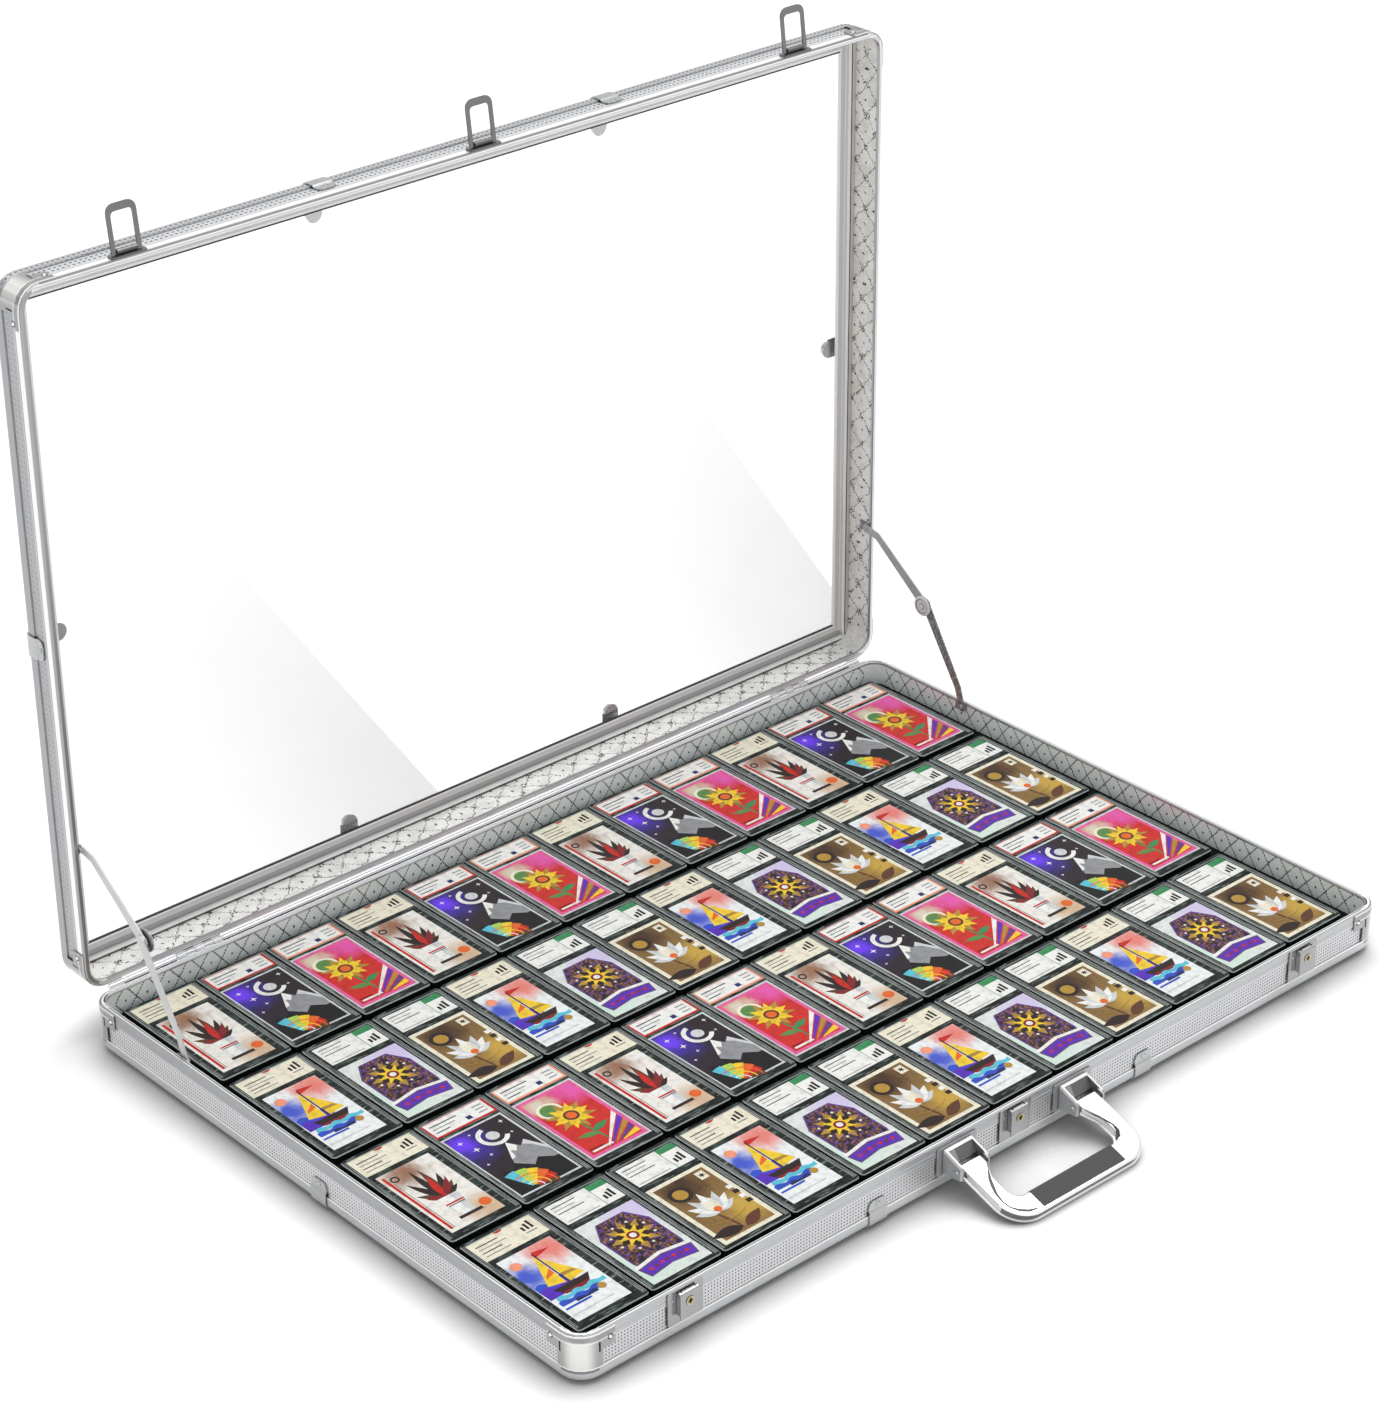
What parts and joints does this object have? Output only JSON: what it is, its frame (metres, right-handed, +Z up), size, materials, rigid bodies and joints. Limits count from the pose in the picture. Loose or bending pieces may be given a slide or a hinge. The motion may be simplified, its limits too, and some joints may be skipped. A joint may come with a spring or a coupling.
{
  "type": "trading card display case",
  "caption": "Shallow aluminium display case with a hinged clear-panelled lid on folding stays, keyed latches, a drop handle and a tray of card slabs.",
  "frame": {"origin": "centre of the bounding box's bottom, on the plane that the case's feet stand on, with the lid open upright", "axes": "+Z up, the case's front faces -Y, +X runs along the front from left to right"},
  "size_m": [0.8666, 0.7139, 0.6787],
  "materials": {
    "aluminium": "satin anodised, with a fine dotted band",
    "bright_aluminium": "polished",
    "bright_steel": "plated",
    "dark_steel": "satin plated",
    "chrome": "mirror plated",
    "brass": "dull",
    "lining": "printed with a dotted diamond lattice",
    "grey_plastic": "smooth",
    "floor_board": "smooth",
    "clear_panel": "clear, polished",
    "slabs_and_insert": "clear slabs on a black insert"
  },
  "bodies": {
    "base": {"base_wall": "aluminium", "base_trim": "aluminium", "base_floor": "floor_board", "base_liner": "lining", "card_tray": "slabs_and_insert", "base_corner_front_left": "bright_aluminium", "base_corner_front_right": "bright_aluminium", "base_corner_back_right": "bright_aluminium", "base_corner_back_left": "bright_aluminium", "foot_clip_front_left": "bright_steel", "foot_clip_front_right": "bright_steel", "foot_clip_back_left": "bright_steel", "foot_clip_back_right": "bright_steel", "foot_clip_left": "bright_steel", "foot_clip_right": "bright_steel", "base_hinge_left": "bright_steel", "base_hinge_right": "bright_steel", "latch_plate_left": "dark_steel", "latch_plate_middle": "dark_steel", "latch_plate_right": "dark_steel", "handle_mount_left": "bright_aluminium", "handle_mount_right": "bright_aluminium", "stay_foot_left": "dark_steel", "stay_foot_right": "dark_steel"},
    "lid": {"lid_wall": "aluminium", "lid_trim": "aluminium", "lid_liner": "lining", "lid_panel": "clear_panel", "lid_rail": "grey_plastic", "lid_corner_front_left": "bright_aluminium", "lid_corner_front_right": "bright_aluminium", "lid_corner_back_right": "bright_aluminium", "lid_corner_back_left": "bright_aluminium", "lid_clip_front_left": "bright_steel", "lid_clip_front_right": "bright_steel", "lid_clip_back_left": "bright_steel", "lid_clip_back_right": "bright_steel", "lid_clip_left": "bright_steel", "lid_clip_right": "bright_steel", "lid_hinge_left": "bright_steel", "lid_hinge_right": "bright_steel", "loop_bracket_left": "dark_steel", "loop_bracket_middle": "dark_steel", "loop_bracket_right": "dark_steel", "stay_lid_plate_left": "dark_steel", "stay_lid_plate_right": "dark_steel"},
    "handle": {"handle": "chrome"},
    "latch_lever_left": {"latch_lever_left": "dark_steel"},
    "latch_key_left": {"latch_key_left": "brass"},
    "latch_loop_left": {"latch_loop_left": "dark_steel"},
    "latch_lever_middle": {"latch_lever_middle": "dark_steel"},
    "latch_key_middle": {"latch_key_middle": "brass"},
    "latch_loop_middle": {"latch_loop_middle": "dark_steel"},
    "latch_lever_right": {"latch_lever_right": "dark_steel"},
    "latch_key_right": {"latch_key_right": "brass"},
    "latch_loop_right": {"latch_loop_right": "dark_steel"},
    "stay_lower_left": {"stay_lower_left": "dark_steel"},
    "stay_upper_left": {"stay_upper_left": "dark_steel"},
    "stay_lower_right": {"stay_lower_right": "dark_steel"},
    "stay_upper_right": {"stay_upper_right": "dark_steel"}
  },
  "joints": [
    {"name": "lid_hinge", "type": "hinge", "parent": "base", "child": "lid", "pos_m": [0, 0.31597, 0.0437], "axis": [1, 0, 0], "range_deg": [0, 90]},
    {"name": "handle_swing", "type": "hinge", "parent": "base", "child": "handle", "pos_m": [0, -0.29673, 0.0238], "axis": [-1, 0, 0], "range_deg": [0, 108]},
    {"name": "latch_lever_left_flip", "type": "hinge", "parent": "base", "child": "latch_lever_left", "pos_m": [-0.3335, -0.28363, 0.04], "axis": [-1, 0, 0], "range_deg": [0, 80]},
    {"name": "latch_key_left_turn", "type": "hinge", "parent": "latch_lever_left", "child": "latch_key_left", "pos_m": [-0.3335, -0.28613, 0.0332], "axis": [0, 1, 0], "range_deg": [0, 90]},
    {"name": "latch_loop_left_swing", "type": "hinge", "parent": "lid", "child": "latch_loop_left", "pos_m": [-0.3335, 0.32267, 0.64285], "axis": [1, 0, 0], "range_deg": [-75, 97]},
    {"name": "latch_lever_middle_flip", "type": "hinge", "parent": "base", "child": "latch_lever_middle", "pos_m": [0, -0.28363, 0.04], "axis": [-1, 0, 0], "range_deg": [0, 80]},
    {"name": "latch_key_middle_turn", "type": "hinge", "parent": "latch_lever_middle", "child": "latch_key_middle", "pos_m": [0, -0.28613, 0.0332], "axis": [0, 1, 0], "range_deg": [0, 90]},
    {"name": "latch_loop_middle_swing", "type": "hinge", "parent": "lid", "child": "latch_loop_middle", "pos_m": [0, 0.32267, 0.64285], "axis": [1, 0, 0], "range_deg": [-75, 97]},
    {"name": "latch_lever_right_flip", "type": "hinge", "parent": "base", "child": "latch_lever_right", "pos_m": [0.3335, -0.28363, 0.04], "axis": [-1, 0, 0], "range_deg": [0, 80]},
    {"name": "latch_key_right_turn", "type": "hinge", "parent": "latch_lever_right", "child": "latch_key_right", "pos_m": [0.3335, -0.28613, 0.0332], "axis": [0, 1, 0], "range_deg": [0, 90]},
    {"name": "latch_loop_right_swing", "type": "hinge", "parent": "lid", "child": "latch_loop_right", "pos_m": [0.3335, 0.32267, 0.64285], "axis": [1, 0, 0], "range_deg": [-75, 97]},
    {"name": "stay_lower_left_fold", "type": "hinge", "parent": "base", "child": "stay_lower_left", "pos_m": [-0.432, 0.19367, 0.039], "axis": [1, 0, 0], "range_deg": [0, 120]},
    {"name": "stay_upper_left_fold", "type": "hinge", "parent": "stay_lower_left", "child": "stay_upper_left", "pos_m": [-0.432, 0.24227, 0.1244], "axis": [1, 0, 0], "range_deg": [-148, 0]},
    {"name": "stay_lower_right_fold", "type": "hinge", "parent": "base", "child": "stay_lower_right", "pos_m": [0.432, 0.19367, 0.039], "axis": [1, 0, 0], "range_deg": [0, 120]},
    {"name": "stay_upper_right_fold", "type": "hinge", "parent": "stay_lower_right", "child": "stay_upper_right", "pos_m": [0.432, 0.24227, 0.1244], "axis": [1, 0, 0], "range_deg": [-148, 0]}
  ],
  "couplings": [
    {"joint": "stay_lower_left_fold", "follows": "lid_hinge", "ratio": 1.3294},
    {"joint": "stay_upper_left_fold", "follows": "lid_hinge", "ratio": -1.6423},
    {"joint": "stay_lower_right_fold", "follows": "lid_hinge", "ratio": 1.3294},
    {"joint": "stay_upper_right_fold", "follows": "lid_hinge", "ratio": -1.6423}
  ]
}
